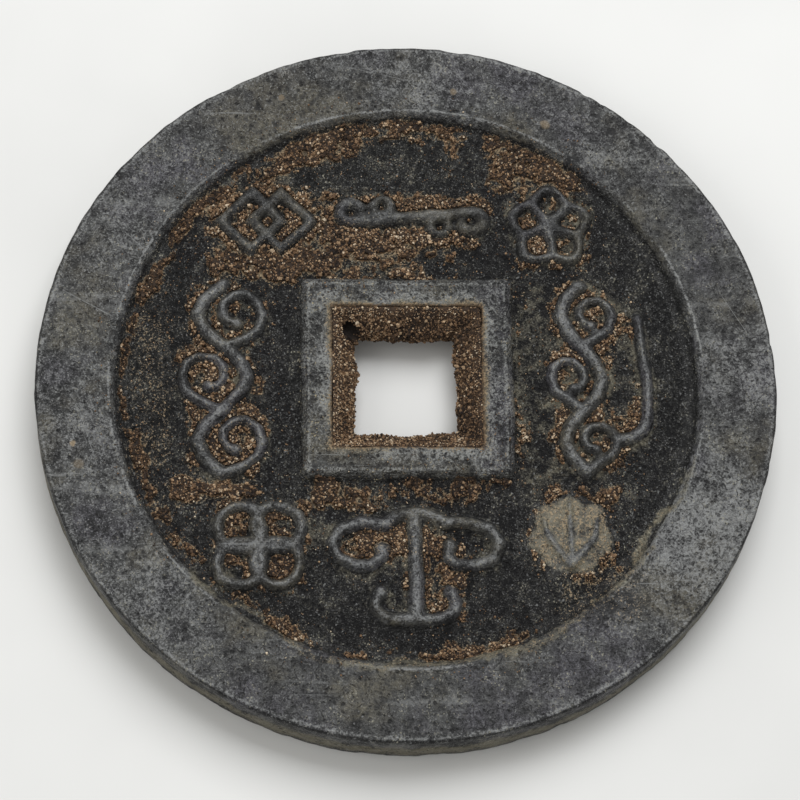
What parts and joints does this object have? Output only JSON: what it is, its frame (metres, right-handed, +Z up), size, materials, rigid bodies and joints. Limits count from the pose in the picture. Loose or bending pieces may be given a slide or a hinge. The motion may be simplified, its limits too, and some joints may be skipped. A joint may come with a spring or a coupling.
{
  "type": "cash coin",
  "caption": "Large round cast coin with a square hole, broad flat rims, raised scroll and flower ornaments in sunk fields, and sandy crust in the hole.",
  "frame": {"origin": "on the plane that the coin lies on, under the middle of its round edge", "axes": "+Z up through the coin's thickness, out of the face with the eight ornaments; +Y towards the top of that face"},
  "size_m": [0.071, 0.071, 0.0054],
  "materials": {
    "rim_bronze": "blue-grey patina on cast bronze, mottled and scratched, worn lighter on the edges",
    "field_bronze": "near-black patina on as-cast bronze, with fine pale speckle",
    "relief_bronze": "dark patina on cast bronze, the stroke tops worn to blue-grey",
    "sandy_crust": "dry, granular, orange-brown sandy crust"
  },
  "bodies": {
    "root": {"outer_rim": "rim_bronze", "field_plate": "field_bronze", "hole_rim": "rim_bronze", "far_left_lozenges": "relief_bronze", "far_cloud_band": "relief_bronze", "far_right_blossom": "relief_bronze", "left_vine": "relief_bronze", "right_vine": "relief_bronze", "near_left_knot": "relief_bronze", "near_cloud": "relief_bronze", "near_right_leaf": "relief_bronze", "reverse_right_cloud": "relief_bronze", "reverse_near_cloud": "relief_bronze", "reverse_left_cloud": "relief_bronze", "reverse_far_cloud": "relief_bronze", "hole_crust_far": "sandy_crust", "hole_crust_left": "sandy_crust", "hole_crust_near": "sandy_crust", "hole_crust_right": "sandy_crust", "crust_far_arc": "sandy_crust", "crust_near_arc": "sandy_crust", "crust_under_band": "sandy_crust", "crust_over_band": "sandy_crust", "crust_left_foot": "sandy_crust", "crust_right_foot": "sandy_crust", "crust_hole_foot": "sandy_crust", "crust_cloud_foot": "sandy_crust"}
  },
  "joints": []
}
